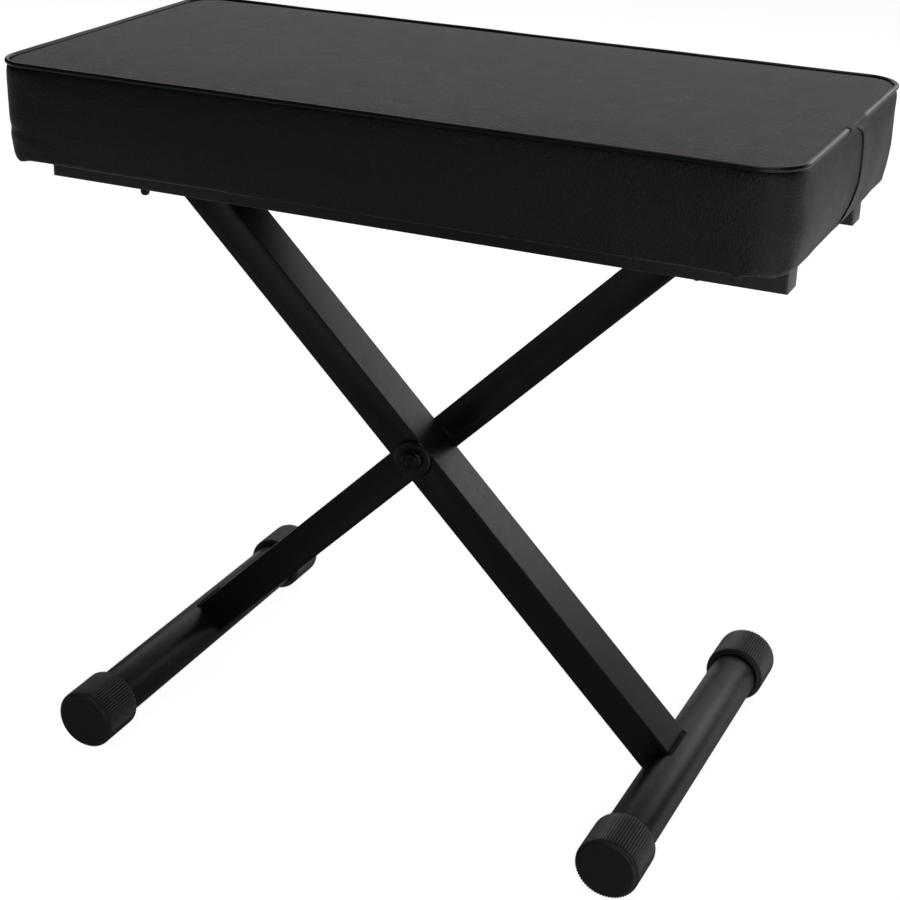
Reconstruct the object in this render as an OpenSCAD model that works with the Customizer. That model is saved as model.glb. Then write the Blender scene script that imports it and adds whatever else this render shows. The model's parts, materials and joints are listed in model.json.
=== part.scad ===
// Keyboard player's X-frame bench: two crossed square-tube legs on round foot tubes,
// two seat rails and an upholstered seat.
// The origin is on the floor, below the middle of the seat and midway between the legs.
// +X runs to the bench's right, +Y to its back and +Z up. All sizes are in millimetres.

/* [Seat] */
// Length of the upholstered seat, left to right
seat_len = 608; // [580:1:620]
// Depth of the upholstered seat, front to back
seat_depth = 296; // [280:1:320]
// Height of the pad from the rails to the piping's centre
pad_h = 71.1; // [60:0.5:80]
// Radius of the seat's corners, seen from above
corner_r = 27; // [18:1:40]
// Thickness of the vinyl cover
cover_t = 1.2; // [0.8:0.1:2]
// Thickness of the plywood seat board
board_t = 12; // [9:1:18]
// Diameter of the piping round the top edge
piping_d = 5; // [4:0.5:8]
// How far the pivot stands to the left of the seat's middle at the lowest height
pivot_shift = 7.8; // [0:0.1:12]

/* [Rails] */
// Length of a seat rail over its end plugs
rail_len = 586.6; // [570:0.2:590]
// Width of a rail
rail_w = 22; // [20:0.5:25]
// Height of a rail
rail_h = 25.4; // [24:0.2:30]
// Distance over the outer faces of the two rails
rail_span = 200; // [190:1:220]
// Wall of a rail
rail_wall = 1.6; // [1.2:0.1:2]

/* [Legs] */
// Distance from the pivot to each foot tube, measured level
foot_reach = 228.6; // [220:0.2:240]
// Distance from the pivot to each cross tube, measured level
cross_reach = 218; // [205:0.2:220]
// Width of a leg tube, seen from the front
leg_w = 29.5; // [28:0.5:32]
// Depth of a leg tube, front to back
leg_d = 38.2; // [34:0.2:42]
// Wall of a leg tube
leg_wall = 1.6; // [1.2:0.1:2]
// Gap between the two legs, filled by the pivot's spacer
leg_gap = 2.6; // [2:0.2:5]

/* [Feet] */
// Diameter of a foot tube
foot_d = 40; // [36:1:42]
// Length of a foot over its caps
foot_len = 361; // [330:1:400]
// Diameter of a foot cap
cap_d = 50.6; // [48:0.2:54]
// Length of a foot cap
cap_len = 43; // [40:1:60]
// Width of the flat that a foot cap stands on
cap_flat = 9; // [6:0.5:12]

/* [Cross tubes and pivot] */
// Diameter of the cross tubes under the seat
cross_d = 22; // [20:0.5:22]
// Diameter of the pins at the cross tubes' ends
pin_d = 12; // [10:0.5:13]
// Diameter of the pivot bolt
pivot_d = 8; // [6:1:10]
// Diameter of the large washers at the pivot
washer_d = 31; // [26:1:34]
// Angle by which the legs close up from their lowest setting
close_angle = 60; // [30:1:60]

/* [Hidden] */
$fn = 64;

FRONT = -1; // side of the bench, along Y
REAR = 1;
LEFT = 0; // place of the left piece in a pair
RIGHT = 1;
eps = 0.01; // overlap of cutting tools past the face that they cut
fit = 0.05; // radial clearance of a pin that turns in its bush
slack = 0.1; // clearance between faces that slide past each other

black_paint = [0.09, 0.09, 0.10];
black_rubber = [0.12, 0.12, 0.12];
black_vinyl = [0.16, 0.15, 0.15];
piping_vinyl = [0.10, 0.10, 0.11];
foam_grey = [0.55, 0.55, 0.50];
plywood = [0.35, 0.27, 0.18];
zinc = [0.62, 0.63, 0.65];
nylon = [0.20, 0.20, 0.21];

// Heights and lengths that follow from the legs at 45 degrees
foot_z = sqrt(pow(cap_d / 2, 2) - pow(cap_flat / 2, 2));
pivot_z = foot_z + foot_reach;
cross_z = pivot_z + cross_reach;
lower_arm = foot_reach * sqrt(2);
upper_arm = cross_reach * sqrt(2);
lean = 45;
pivot_x = -pivot_shift;
foot_x = [pivot_x - foot_reach, pivot_x + foot_reach]; // left, right
cross_x = [pivot_x - cross_reach, pivot_x + cross_reach];

rail_y = rail_span / 2 - rail_w / 2;
rail_inner_y = rail_span / 2 - rail_w;
rail_bottom = cross_z - rail_h / 2;
rail_top = cross_z + rail_h / 2;
rail_round = 1.2;
plug_t = 2; // end plate of a rail plug
plug_depth = 14;

bolt_x = [-217, 226.9]; // left, right
bolt_d = 6;
bolt_hole_d = 6.8;
bolt_washer_t = 1.4;
bolt_washer_d = 11;
tee_barrel_d = 8;
tee_flange_d = 19;
tee_flange_t = 1.2;

board_bottom = rail_top;
board_top = board_bottom + board_t;
piping_z = rail_top + pad_h;
panel_z = piping_z + piping_d / 2 + slack;
hem_long = 20; // hem under the front and back edges
hem_short = 9.6; // hem under the ends, stopping short of the rails
inset = 0.2; // gap between the cover and what it wraps

cross_half = rail_inner_y - 1;
cross_wall = 1.5;
pin_out = 8; // length of a pin outside its cross tube
pin_in = 16; // length of a pin inside its cross tube
bush_wall = 1.5;
bush_flange_d = 20;
bush_flange_t = 0.7;
glide_r = pin_d / 2 + 1.3;
slot_r = glide_r + 0.2;
slot_x = [cross_x[LEFT] + 2 * upper_arm * sin((90 - close_angle) / 2) - 1,
    cross_x[RIGHT] + slack]; // ends of the slot, left and right

cap_end = 6; // thickness of a cap's closed end
foot_wall = 1.6;
bead = 2.2; // leg of a weld bead
leg_round = 0.8;
bore_round = 0.4; // corner radius inside the leg tubes
pivot_hub_d = 14;
front_washer_t = 3.4;
head_af = 13; // across the flats of the pivot bolt's head and nut
head_t = 5.3;
nut_t = 8;
rear_washer_t = 2;
pivot_front_y = -leg_gap / 2 - leg_d; // front leg's front face
pivot_rear_y = leg_gap / 2 + leg_d; // rear leg's rear face

// ---- shared shapes ----

// Outline of a bar with rounded corners, centred
module rounded_outline(w, h, r) {
    square([w - 2 * r, h], center = true);
    square([w, h - 2 * r], center = true);
    for (x = [-1, 1], y = [-1, 1])
        translate([x * (w / 2 - r), y * (h / 2 - r)]) circle(r);
}

// Plate with rounded corners that stands on z0, centred on the seat
module seat_plate(shrink, z0, h) {
    translate([0, 0, z0]) linear_extrude(h)
        rounded_outline(seat_len - 2 * shrink, seat_depth - 2 * shrink, corner_r - shrink);
}

// Straight rod along Y between two Y values, with its axis at x, z
module rod_y(d, y0, y1, x = 0, z = 0) {
    translate([x, y0, z]) rotate([-90, 0, 0]) cylinder(d = d, h = y1 - y0);
}

// Ring or bush along Y
module ring_y(od, id, y0, y1, x = 0, z = 0) {
    difference() {
        rod_y(od, y0, y1, x, z);
        rod_y(id, y0 - eps, y1 + eps, x, z);
    }
}

// Mirrors the rear copy of a front piece, for side FRONT or REAR
module on_side(side) {
    mirror([0, side == REAR ? 1 : 0, 0]) children();
}

// Frame of a leg: origin at the pivot, +Z up the leg. A leg leans towards the end of its top.
module leg_frame(top_end) {
    translate([pivot_x, 0, pivot_z]) rotate([0, top_end == RIGHT ? lean : -lean, 0]) children();
}

// ---- seat ----

module cover_top_panel() {
    color(black_vinyl) seat_plate(cover_t, panel_z, cover_t);
}

module cover_side_band() {
    band_top = piping_z - piping_d / 2 - slack;
    color(black_vinyl) difference() {
        seat_plate(0, rail_top - cover_t, band_top - rail_top + cover_t);
        seat_plate(cover_t, rail_top, pad_h);
        translate([0, 0, rail_top - cover_t - eps]) linear_extrude(2 * cover_t)
            square([seat_len - 2 * hem_short, seat_depth - 2 * hem_long], center = true);
    }
}

module piping() {
    arc_x = seat_len / 2 - corner_r;
    arc_y = seat_depth / 2 - corner_r;
    color(piping_vinyl) translate([0, 0, piping_z]) union() {
        for (side = [-1, 1]) {
            translate([-arc_x, side * seat_depth / 2, 0]) rotate([0, 90, 0])
                cylinder(d = piping_d, h = 2 * arc_x, $fn = 32);
            translate([side * seat_len / 2, -arc_y, 0]) rotate([-90, 0, 0])
                cylinder(d = piping_d, h = 2 * arc_y, $fn = 32);
        }
        for (turn = [0:3]) {
            sx = (turn == 0 || turn == 3) ? 1 : -1;
            sy = turn < 2 ? 1 : -1;
            translate([sx * arc_x, sy * arc_y, 0]) rotate([0, 0, 90 * turn])
                rotate_extrude(angle = 90) translate([corner_r, 0]) circle(d = piping_d, $fn = 32);
        }
    }
}

module foam_pad() {
    step_z = piping_z - piping_d / 2 - 2;
    color(foam_grey) union() {
        seat_plate(cover_t + inset, board_top, step_z - board_top);
        seat_plate(piping_d / 2 + inset, board_top, panel_z - board_top);
    }
}

module seat_board() {
    color(plywood) difference() {
        seat_plate(cover_t + inset, board_bottom, board_t);
        for (x = bolt_x, side = [FRONT, REAR])
            translate([x, side * rail_y, board_bottom - eps]) {
                cylinder(d = tee_barrel_d, h = board_t + 2 * eps);
                translate([0, 0, board_t - tee_flange_t])
                    cylinder(d = tee_flange_d, h = tee_flange_t + 1);
            }
    }
}

// Crowns of the staples that hold the hem to the board
module hem_staples() {
    crown = [10, 1.2, 0.6];
    long_count = 14;
    short_count = 7;
    z = rail_top - cover_t - crown[2] / 2;
    color(zinc) translate([0, 0, z]) {
        for (side = [-1, 1], i = [0:long_count - 1])
            translate([(i - (long_count - 1) / 2) * seat_len / (long_count + 1),
                side * (seat_depth / 2 - hem_long / 2), 0])
                cube(crown, center = true);
        for (side = [-1, 1], i = [0:short_count - 1])
            translate([side * (seat_len / 2 - hem_short / 2),
                (i - (short_count - 1) / 2) * seat_depth / (short_count + 1), 0])
                cube([crown[1], crown[0], crown[2]], center = true);
    }
}

// ---- rails ----

// The front rail. Its inner wall has a round hole for the hinge and a long slot for the glide.
module rail() {
    tube_len = rail_len - 2 * plug_t;
    wall_cut = 3 * rail_wall;
    color(black_paint) difference() {
        translate([-tube_len / 2, -rail_y, cross_z]) rotate([90, 0, 90])
            linear_extrude(tube_len) difference() {
                rounded_outline(rail_w, rail_h, rail_round);
                rounded_outline(rail_w - 2 * rail_wall, rail_h - 2 * rail_wall,
                    rail_round - rail_wall / 2);
            }
        translate([0, -rail_inner_y - wall_cut / 2, 0]) {
            rod_y(pin_d + 2 * bush_wall, 0, wall_cut, cross_x[LEFT], cross_z);
            for (x = slot_x) rod_y(2 * slot_r, 0, wall_cut, x, cross_z);
            translate([slot_x[LEFT], 0, cross_z - slot_r])
                cube([slot_x[RIGHT] - slot_x[LEFT], wall_cut, 2 * slot_r]);
        }
        for (x = bolt_x)
            translate([x, -rail_y, rail_bottom - 1])
                cylinder(d = bolt_hole_d, h = rail_h + 2);
    }
}

module front_rail() { rail(); }
module rear_rail() { on_side(REAR) rail(); }

// Plastic plug that closes a rail's end: a plate with a socket behind it
module rail_plug(side, end) {
    inner_w = rail_w - 2 * rail_wall - 0.2;
    inner_h = rail_h - 2 * rail_wall - 0.2;
    socket_wall = 2;
    out = end == RIGHT ? 1 : -1;
    color(nylon) translate([out * (rail_len / 2 - plug_t), side * rail_y, cross_z])
        rotate([90, 0, out * 90]) {
            linear_extrude(plug_t) rounded_outline(rail_w, rail_h, rail_round);
            translate([0, 0, -plug_depth]) linear_extrude(plug_depth + eps) difference() {
                rounded_outline(inner_w, inner_h, 1);
                rounded_outline(inner_w - 2 * socket_wall, inner_h - 2 * socket_wall, 0.8);
            }
        }
}

module front_rail_left_plug() { rail_plug(FRONT, LEFT); }
module front_rail_right_plug() { rail_plug(FRONT, RIGHT); }
module rear_rail_left_plug() { rail_plug(REAR, LEFT); }
module rear_rail_right_plug() { rail_plug(REAR, RIGHT); }

// Bolts up through a rail into the seat board. The head is a revolved profile below the rail.
module seat_bolt_pair(x, head_profile, below) {
    color(zinc) for (side = [FRONT, REAR])
        translate([x, side * rail_y, rail_bottom - below]) {
            cylinder(d = bolt_d, h = rail_h + board_t - tee_flange_t - 1 + below, $fn = 32);
            rotate_extrude() polygon(head_profile);
        }
}

// Tall domed heads on washers
module seat_bolts_left() {
    seat_bolt_pair(bolt_x[LEFT],
        [[0, -6], [1.8, -5.8], [3, -5], [3.5, -3.6], [3.6, -1.6], [4, -0.7], [4.8, 0], [0, 0]],
        bolt_washer_t);
}

// Low button heads straight on the rail
module seat_bolts_right() {
    seat_bolt_pair(bolt_x[RIGHT],
        [[0, -3.9], [1.3, -3.7], [2.5, -2.7], [3.2, -1.3], [3.5, 0], [0, 0]], 0);
}

module seat_bolt_washers() {
    color(zinc) for (side = [FRONT, REAR])
        translate([bolt_x[LEFT], side * rail_y, rail_bottom - bolt_washer_t]) difference() {
            cylinder(d = bolt_washer_d, h = bolt_washer_t);
            translate([0, 0, -eps]) cylinder(d = bolt_d + 0.4, h = bolt_washer_t + 2 * eps);
        }
}

module tee_nuts() {
    color(zinc) for (x = bolt_x, side = [FRONT, REAR])
        translate([x, side * rail_y, board_bottom + 1]) difference() {
            union() {
                cylinder(d = tee_barrel_d, h = board_t - 1);
                translate([0, 0, board_t - 1 - tee_flange_t])
                    cylinder(d = tee_flange_d, h = tee_flange_t);
            }
            translate([0, 0, -eps]) cylinder(d = bolt_d + 0.1, h = board_t);
        }
}

// Flanged bushes in the rails' round holes, on which the left cross tube turns
module hinge_bushes() {
    back_y = -rail_inner_y - 6;
    face_y = -rail_inner_y + bush_flange_t;
    color(nylon) for (side = [FRONT, REAR]) on_side(side)
        difference() {
            union() {
                rod_y(pin_d + 2 * bush_wall, back_y, face_y, cross_x[LEFT], cross_z);
                rod_y(bush_flange_d, -rail_inner_y, face_y, cross_x[LEFT], cross_z);
            }
            rod_y(pin_d + 2 * fit, back_y - 1, face_y + 1, cross_x[LEFT], cross_z);
        }
}

// ---- legs and feet ----

// Outline of a leg tube in its own frame, grown by g, between two heights along the leg
module leg_bar(side, g, z0, z1) {
    translate([0, side * (leg_gap + leg_d) / 2, z0]) linear_extrude(z1 - z0)
        rounded_outline(leg_w + 2 * g, leg_d + 2 * g, max(leg_round + g, bore_round));
}

// Square-tube leg, coped over its foot tube and its cross tube
module leg_tube(side, top_end) {
    top = upper_arm - 1;
    color(black_paint) leg_frame(top_end) difference() {
        leg_bar(side, 0, -lower_arm, top);
        leg_bar(side, -leg_wall, -lower_arm - 1, top + 1);
        rod_y(foot_d, -foot_len / 2, foot_len / 2, 0, -lower_arm);
        rod_y(cross_d, -foot_len / 2, foot_len / 2, 0, upper_arm);
        rod_y(pivot_hub_d, -foot_len / 2, foot_len / 2);
    }
}

module foot_tube(end) {
    half = foot_len / 2 - cap_end;
    color(black_paint)
        ring_y(foot_d, foot_d - 2 * foot_wall, -half, half, foot_x[end], foot_z);
}

// Rubber cap with rounded rims and a flat to stand on
module foot_cap(end, side) {
    r = cap_d / 2;
    tube_r = foot_d / 2;
    color(black_rubber) on_side(side) difference() {
        translate([foot_x[end], -foot_len / 2, foot_z]) rotate([-90, 0, 0])
            rotate_extrude() polygon([[0, 0], [r - 3.6, 0], [r - 1.6, 0.7], [r - 0.5, 2.2], [r, 4.2],
                [r, cap_len - 2.6], [r - 0.7, cap_len - 0.8], [r - 2, cap_len], [tube_r, cap_len],
                [tube_r, cap_end], [0, cap_end]]);
        translate([foot_x[end] - r, -foot_len / 2 - 1, -r]) cube([2 * r, cap_len + 2, r]);
    }
}

// Bead that lies on a round tube, all round the leg's coped end
module weld_bead(side, top_end, tube_d, at_z) {
    color(black_paint) leg_frame(top_end) difference() {
        intersection() {
            ring_y(tube_d + 2 * bead, tube_d, -leg_gap / 2 - leg_d - bead,
                leg_gap / 2 + leg_d + bead, 0, at_z);
            leg_bar(side, bead, min(at_z, 0), at_z > 0 ? at_z - 1 : 0);
        }
        leg_bar(side, 0, -lower_arm - 40, upper_arm + 40);
    }
}

module cross_tube(end) {
    color(black_paint)
        ring_y(cross_d, cross_d - 2 * cross_wall, -cross_half, cross_half, cross_x[end], cross_z);
}

// Stepped pins, fixed in a cross tube's ends
module cross_pins(end) {
    color(zinc) for (side = [FRONT, REAR]) on_side(side) {
        rod_y(pin_d, -cross_half - pin_out, -cross_half + 1, cross_x[end], cross_z);
        rod_y(cross_d - 2 * cross_wall, -cross_half, -cross_half + pin_in, cross_x[end], cross_z);
    }
}

module front_leg_tube() { leg_tube(FRONT, LEFT); }
module right_foot_tube() { foot_tube(RIGHT); }
module right_foot_front_cap() { foot_cap(RIGHT, FRONT); }
module right_foot_rear_cap() { foot_cap(RIGHT, REAR); }
module right_foot_weld() { weld_bead(FRONT, LEFT, foot_d, -lower_arm); }
module left_cross_tube() { cross_tube(LEFT); }
module left_cross_pins() { cross_pins(LEFT); }
module left_cross_weld() { weld_bead(FRONT, LEFT, cross_d, upper_arm); }

module rear_leg_tube() { leg_tube(REAR, RIGHT); }
module left_foot_tube() { foot_tube(LEFT); }
module left_foot_front_cap() { foot_cap(LEFT, FRONT); }
module left_foot_rear_cap() { foot_cap(LEFT, REAR); }
module left_foot_weld() { weld_bead(REAR, RIGHT, foot_d, -lower_arm); }
module right_cross_tube() { cross_tube(RIGHT); }
module right_cross_pins() { cross_pins(RIGHT); }
module right_cross_weld() { weld_bead(REAR, RIGHT, cross_d, upper_arm); }

// Nylon sleeves on the right cross tube's pins, which slide in the rails' slots
module right_cross_glides() {
    color(nylon) for (side = [FRONT, REAR]) on_side(side)
        ring_y(2 * glide_r, pin_d, -cross_half - pin_out + 1, -cross_half - 0.4,
            cross_x[RIGHT], cross_z);
}

// ---- pivot ----

module pivot_bolt() {
    head_y = pivot_front_y - front_washer_t;
    tail_y = pivot_rear_y + slack + rear_washer_t + nut_t + 3;
    color(zinc) {
        rod_y(pivot_d, head_y, tail_y, pivot_x, pivot_z);
        rod_y(head_af + 2.5, head_y - 1.2, head_y, pivot_x, pivot_z);
        translate([pivot_x, head_y, pivot_z]) rotate([90, 0, 0])
            cylinder(d = head_af / cos(30), h = head_t, $fn = 6);
    }
}

module pivot_front_washer() {
    color(black_paint)
        ring_y(washer_d, pivot_d + 0.4, pivot_front_y - front_washer_t, pivot_front_y, pivot_x, pivot_z);
}

module pivot_spacer() {
    color(nylon)
        ring_y(washer_d + 1, pivot_d + 0.4, -leg_gap / 2, leg_gap / 2 - slack, pivot_x, pivot_z);
}

module front_pivot_bush() {
    color(zinc)
        ring_y(pivot_hub_d, pivot_d + 2 * fit, pivot_front_y, -leg_gap / 2, pivot_x, pivot_z);
}

module rear_pivot_bush() {
    color(zinc)
        ring_y(pivot_hub_d, pivot_d + 2 * fit, leg_gap / 2, pivot_rear_y, pivot_x, pivot_z);
}

module pivot_rear_washer() {
    start_y = pivot_rear_y + slack;
    color(zinc) ring_y(washer_d - 7, pivot_d + 0.4, start_y, start_y + rear_washer_t, pivot_x, pivot_z);
}

// Nut with a nylon ring in its crown
module pivot_lock_nut() {
    start_y = pivot_rear_y + slack + rear_washer_t;
    hex_t = nut_t - 2;
    color(zinc) difference() {
        union() {
            translate([pivot_x, start_y, pivot_z]) rotate([-90, 0, 0])
                cylinder(d = head_af / cos(30), h = hex_t, $fn = 6);
            rod_y(head_af - 1.5, start_y, start_y + nut_t, pivot_x, pivot_z);
        }
        rod_y(pivot_d + 0.02, start_y - eps, start_y + nut_t + eps, pivot_x, pivot_z);
    }
}

cover_top_panel();
cover_side_band();
piping();
foam_pad();
seat_board();
hem_staples();
front_rail();
rear_rail();
front_rail_left_plug();
front_rail_right_plug();
rear_rail_left_plug();
rear_rail_right_plug();
seat_bolts_left();
seat_bolts_right();
seat_bolt_washers();
tee_nuts();
hinge_bushes();
front_leg_tube();
right_foot_tube();
right_foot_front_cap();
right_foot_rear_cap();
right_foot_weld();
left_cross_tube();
left_cross_pins();
left_cross_weld();
pivot_bolt();
pivot_front_washer();
pivot_spacer();
front_pivot_bush();
pivot_rear_washer();
pivot_lock_nut();
rear_leg_tube();
left_foot_tube();
left_foot_front_cap();
left_foot_rear_cap();
left_foot_weld();
right_cross_tube();
right_cross_pins();
right_cross_weld();
right_cross_glides();
rear_pivot_bush();
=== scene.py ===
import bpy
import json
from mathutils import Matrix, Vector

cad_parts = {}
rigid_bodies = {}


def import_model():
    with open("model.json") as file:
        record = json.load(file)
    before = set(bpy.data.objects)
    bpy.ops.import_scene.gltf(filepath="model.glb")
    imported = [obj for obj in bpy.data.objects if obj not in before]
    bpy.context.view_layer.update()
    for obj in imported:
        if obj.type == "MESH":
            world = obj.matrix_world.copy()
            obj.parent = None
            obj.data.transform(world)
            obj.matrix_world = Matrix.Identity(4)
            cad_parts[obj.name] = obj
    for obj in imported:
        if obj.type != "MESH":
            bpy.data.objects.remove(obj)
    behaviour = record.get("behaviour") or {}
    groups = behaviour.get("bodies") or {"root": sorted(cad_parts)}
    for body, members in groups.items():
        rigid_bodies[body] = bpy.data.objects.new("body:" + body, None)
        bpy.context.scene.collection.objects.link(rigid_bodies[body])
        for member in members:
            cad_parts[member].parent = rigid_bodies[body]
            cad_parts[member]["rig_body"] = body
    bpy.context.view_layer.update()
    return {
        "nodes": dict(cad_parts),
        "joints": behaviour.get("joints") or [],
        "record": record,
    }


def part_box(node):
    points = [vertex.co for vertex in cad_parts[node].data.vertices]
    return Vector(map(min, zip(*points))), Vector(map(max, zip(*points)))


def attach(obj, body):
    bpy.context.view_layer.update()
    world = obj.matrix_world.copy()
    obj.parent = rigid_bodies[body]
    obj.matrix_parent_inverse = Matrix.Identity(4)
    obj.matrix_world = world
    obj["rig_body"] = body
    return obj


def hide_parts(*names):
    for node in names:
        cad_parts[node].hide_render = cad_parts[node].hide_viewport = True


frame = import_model()

import json
import math

import bmesh
import bpy
import numpy as np
from mathutils import Matrix, Vector, noise
from mathutils.bvhtree import BVHTree

MM = 0.001
scene = bpy.context.scene
nodes = frame["nodes"]


# ---- materials ----

def add(tree, kind, **sockets):
    """A shader node of that kind with its input sockets and properties set."""
    node = tree.nodes.new("ShaderNode" + kind)
    for name, value in sockets.items():
        socket = node.inputs.get(name.replace("_", " "))
        if socket is None:
            setattr(node, name, value)
        elif isinstance(value, bpy.types.NodeSocket):
            tree.links.new(value, socket)
        else:
            socket.default_value = value
    return node


def opaque(r, g, b):
    """A colour with full alpha, as a colour socket takes it."""
    return (r, g, b, 1.0)


def span(tree, value, low, high):
    """Maps a 0 to 1 value to low to high."""
    return add(tree, "MapRange", Value=value, To_Min=low, To_Max=high).outputs["Result"]


def material(name, dark, light, roughness, relief, patch=9.0, scratches=0.0, stretch=None, **shader):
    """A procedural finish. Its colour wanders between dark and light over patches, and its roughness over a
    range. relief lists (texture, cells per metre, height in mm) for its bump."""
    made = bpy.data.materials.new(name)
    made.use_nodes = True
    tree = made.node_tree
    bsdf = tree.nodes["Principled BSDF"]
    place = add(tree, "TexCoord").outputs["Object"]
    if stretch:
        place = add(tree, "Mapping", Vector=place, Scale=stretch).outputs["Vector"]
    cloud = add(tree, "TexNoise", Vector=place, Scale=patch, Detail=4.0, Roughness=0.6).outputs["Fac"]
    fine = add(tree, "TexNoise", Vector=place, Scale=patch * 40, Detail=3.0, Roughness=0.65).outputs["Fac"]
    blend = add(tree, "Math", operation="MULTIPLY", use_clamp=True)
    tree.links.new(span(tree, cloud, -0.55, 1.75), blend.inputs[0])
    tree.links.new(span(tree, fine, 0.35, 1.55), blend.inputs[1])
    ramp = add(tree, "ValToRGB", Fac=blend.outputs[0])
    ramp.color_ramp.elements[0].color = opaque(*dark)
    ramp.color_ramp.elements[1].color = opaque(*light)
    tree.links.new(ramp.outputs["Color"], bsdf.inputs["Base Color"])
    rough = add(tree, "TexNoise", Vector=place, Scale=patch * 9, Detail=5.0, Roughness=0.7).outputs["Fac"]
    rough = span(tree, rough, *roughness)
    if scratches:
        lines = add(tree, "TexNoise", Vector=place, Scale=patch * 14, Detail=2.0, Distortion=1.6)
        narrow = add(tree, "MapRange", Value=lines.outputs["Fac"], From_Min=0.60, From_Max=0.68, To_Min=0.0,
                     To_Max=scratches)
        total = add(tree, "Math", operation="ADD", use_clamp=True)
        tree.links.new(rough, total.inputs[0])
        tree.links.new(narrow.outputs["Result"], total.inputs[1])
        rough = total.outputs[0]
    tree.links.new(rough, bsdf.inputs["Roughness"])
    height = None
    for kind, per_metre, tall in relief:
        if kind == "cells":
            node = add(tree, "TexVoronoi", Vector=place, Scale=per_metre, feature="SMOOTH_F1",
                       Smoothness=0.45)
            value = node.outputs["Distance"]
        elif kind == "wave":
            node = add(tree, "TexWave", Vector=place, Scale=per_metre, Distortion=3.0, Detail=2.0)
            value = node.outputs["Fac"]
        else:
            node = add(tree, "TexNoise", Vector=place, Scale=per_metre, Detail=3.0, Roughness=0.6)
            value = node.outputs["Fac"]
        scaled = add(tree, "Math", operation="MULTIPLY")
        tree.links.new(value, scaled.inputs[0])
        scaled.inputs[1].default_value = tall
        if height is None:
            height = scaled.outputs[0]
        else:
            total = add(tree, "Math", operation="ADD")
            tree.links.new(height, total.inputs[0])
            tree.links.new(scaled.outputs[0], total.inputs[1])
            height = total.outputs[0]
    bump = add(tree, "Bump", Height=height, Distance=MM, Strength=1.0)
    tree.links.new(bump.outputs["Normal"], bsdf.inputs["Normal"])
    for socket, value in shader.items():
        bsdf.inputs[socket.replace("_", " ")].default_value = value
    return made


SLOTS = {
    "vinyl": material("vinyl", (0.0044, 0.0044, 0.0052), (0.0082, 0.0080, 0.0086), (0.40, 0.56),
                      [("cells", 650, 0.42), ("noise", 1700, 0.34), ("noise", 240, 0.05)], patch=7,
                      Specular_IOR_Level=0.5),
    "piping": material("piping", (0.006, 0.006, 0.007), (0.011, 0.011, 0.012), (0.24, 0.36),
                       [("noise", 900, 0.04), ("cells", 700, 0.03)], patch=14, Specular_IOR_Level=0.5),
    "plywood": material("plywood", (0.030, 0.020, 0.013), (0.085, 0.056, 0.034), (0.62, 0.82),
                        [("noise", 260, 0.30), ("wave", 30, 0.10)], patch=22, stretch=(0.10, 1.0, 1.0)),
    "staple_steel": material("staple_steel", (0.42, 0.42, 0.43), (0.62, 0.62, 0.62), (0.25, 0.45),
                             [("noise", 1600, 0.03)], patch=60, Metallic=1.0),
    "black_paint": material("black_paint", (0.0060, 0.0060, 0.0064), (0.0105, 0.0103, 0.0103), (0.34, 0.46),
                            [("noise", 620, 0.07), ("noise", 1700, 0.05)], patch=11, scratches=0.08,
                            Specular_IOR_Level=0.5),
    "weld": material("weld", (0.010, 0.010, 0.0105), (0.017, 0.0165, 0.0165), (0.32, 0.48),
                     [("noise", 700, 0.14), ("noise", 1800, 0.05)], patch=50, Specular_IOR_Level=0.55),
    "rubber": material("rubber", (0.0250, 0.0250, 0.0255), (0.0420, 0.0415, 0.0410), (0.34, 0.48),
                       [("noise", 1300, 0.06), ("noise", 420, 0.05)], patch=26, Specular_IOR_Level=0.45),
    "plug_plastic": material("plug_plastic", (0.100, 0.100, 0.101), (0.150, 0.149, 0.147), (0.40, 0.55),
                             [("cells", 1500, 0.05), ("noise", 700, 0.03)], patch=40, Specular_IOR_Level=0.9),
    "nylon": material("nylon", (0.017, 0.017, 0.018), (0.028, 0.028, 0.028), (0.40, 0.55),
                      [("noise", 900, 0.04)], patch=40, Subsurface_Weight=0.05),
    "black_steel": material("black_steel", (0.016, 0.016, 0.018), (0.040, 0.038, 0.036), (0.22, 0.42),
                            [("noise", 1100, 0.04), ("noise", 300, 0.03)], patch=60, scratches=0.15,
                            Metallic=0.75),
    "zinc": material("zinc", (0.40, 0.40, 0.42), (0.60, 0.60, 0.58), (0.24, 0.44),
                     [("noise", 1400, 0.03), ("cells", 300, 0.03)], patch=70, Metallic=1.0),
}


# ---- mesh tools ----

def piece(name, verts, faces, body, slot, replaces=(), sharp=40):
    """A new mesh in the part's frame, shaded smooth up to the sharp angle, riding on a CAD body."""
    mesh = bpy.data.meshes.new(name)
    mesh.from_pydata([tuple(float(c) for c in v) for v in verts], [],
                     [tuple(int(i) for i in f) for f in faces])
    mesh.validate()
    made = bpy.data.objects.new(name, mesh)
    scene.collection.objects.link(made)
    dress(made, body, slot, replaces, sharp)
    return made


def dress(made, body, slot, replaces=(), sharp=40):
    """Smooth shading up to the sharp angle, the slot's finish, and the CAD body and nodes of a new object."""
    mesh = made.data
    bm = bmesh.new()
    bm.from_mesh(mesh)
    bmesh.ops.recalc_face_normals(bm, faces=bm.faces)
    for face in bm.faces:
        face.smooth = True
    for edge in bm.edges:
        if len(edge.link_faces) == 2:
            edge.smooth = edge.calc_face_angle(0) < math.radians(sharp)
    bm.to_mesh(mesh)
    bm.free()
    mesh.materials.clear()
    mesh.materials.append(SLOTS[slot])
    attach(made, body)
    if replaces:
        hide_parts(*replaces)


KEPT_LAYERS = ("position", ".edge_verts", ".corner_vert", ".corner_edge")  # what a bare mesh is made of


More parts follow.
